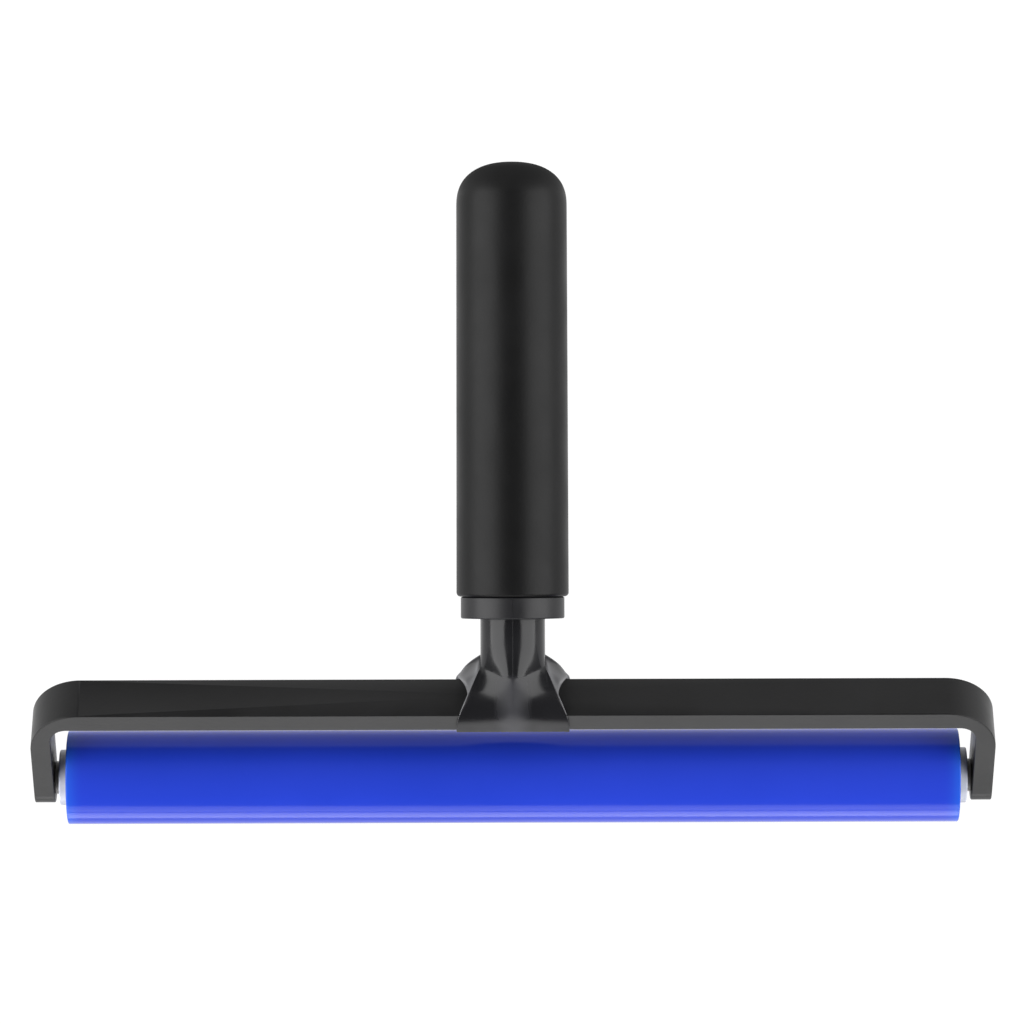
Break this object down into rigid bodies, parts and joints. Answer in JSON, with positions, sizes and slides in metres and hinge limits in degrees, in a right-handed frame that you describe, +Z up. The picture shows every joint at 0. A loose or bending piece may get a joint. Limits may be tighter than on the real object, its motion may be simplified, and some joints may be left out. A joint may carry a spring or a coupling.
{
  "type": "rubber brayer",
  "caption": "Hand brayer with a soft blue rubber roller in a bent flat-bar frame, on an angled neck with a round black grip.",
  "frame": {"origin": "on the table, under the middle of the box of the brayer lying at rest on its roller and the end of its grip", "axes": "+X along the roller, +Y from the roller towards the end of the handle, +Z up from the table"},
  "size_m": [0.2686, 0.1862, 0.0434],
  "materials": {
    "grip_rubber": "matte black, faint fine grain",
    "neck_plastic": "glossy black moulding with a fine parting line",
    "frame_coating": "satin black coating",
    "blue_rubber": "smooth semi-gloss blue rubber",
    "white_plastic": "satin white",
    "spacer_plastic": "satin black",
    "core_aluminium": "plain drawn tube",
    "axle_steel": "turned steel",
    "bearing_steel": "ground and polished",
    "cage_brass": "plain brass",
    "screw_steel": "dark plated steel"
  },
  "bodies": {
    "frame": {"grip": "grip_rubber", "neck": "neck_plastic", "frame_bar": "frame_coating", "axle": "axle_steel", "saddle_screw_left": "screw_steel", "saddle_screw_right": "screw_steel", "axle_spacer_left": "spacer_plastic", "axle_spacer_right": "spacer_plastic", "axle_screw_left": "screw_steel", "axle_screw_right": "screw_steel", "bearing_inner_left": "bearing_steel", "bearing_inner_right": "bearing_steel"},
    "roller": {"roller_sleeve": "blue_rubber", "core_tube": "core_aluminium", "end_plug_left": "white_plastic", "end_plug_right": "white_plastic", "bearing_outer_left": "bearing_steel", "bearing_outer_right": "bearing_steel"},
    "ball_set_left": {"bearing_cage_left": "cage_brass", "ball_left_1": "bearing_steel", "ball_left_2": "bearing_steel", "ball_left_3": "bearing_steel", "ball_left_4": "bearing_steel", "ball_left_5": "bearing_steel", "ball_left_6": "bearing_steel", "ball_left_7": "bearing_steel"},
    "ball_set_right": {"bearing_cage_right": "cage_brass", "ball_right_1": "bearing_steel", "ball_right_2": "bearing_steel", "ball_right_3": "bearing_steel", "ball_right_4": "bearing_steel", "ball_right_5": "bearing_steel", "ball_right_6": "bearing_steel", "ball_right_7": "bearing_steel"}
  },
  "joints": [
    {"name": "roller_spin", "type": "hinge", "parent": "frame", "child": "roller", "pos_m": [0, -0.07995, 0.01315], "axis": [1, 0, 0], "continuous": true},
    {"name": "ball_set_left_orbit", "type": "hinge", "parent": "frame", "child": "ball_set_left", "pos_m": [-0.1225, -0.07995, 0.01315], "axis": [1, 0, 0], "continuous": true},
    {"name": "ball_set_right_orbit", "type": "hinge", "parent": "frame", "child": "ball_set_right", "pos_m": [0.1225, -0.07995, 0.01315], "axis": [1, 0, 0], "continuous": true}
  ],
  "couplings": [
    {"joint": "ball_set_left_orbit", "follows": "roller_spin", "ratio": 0.621},
    {"joint": "ball_set_right_orbit", "follows": "roller_spin", "ratio": 0.621}
  ]
}
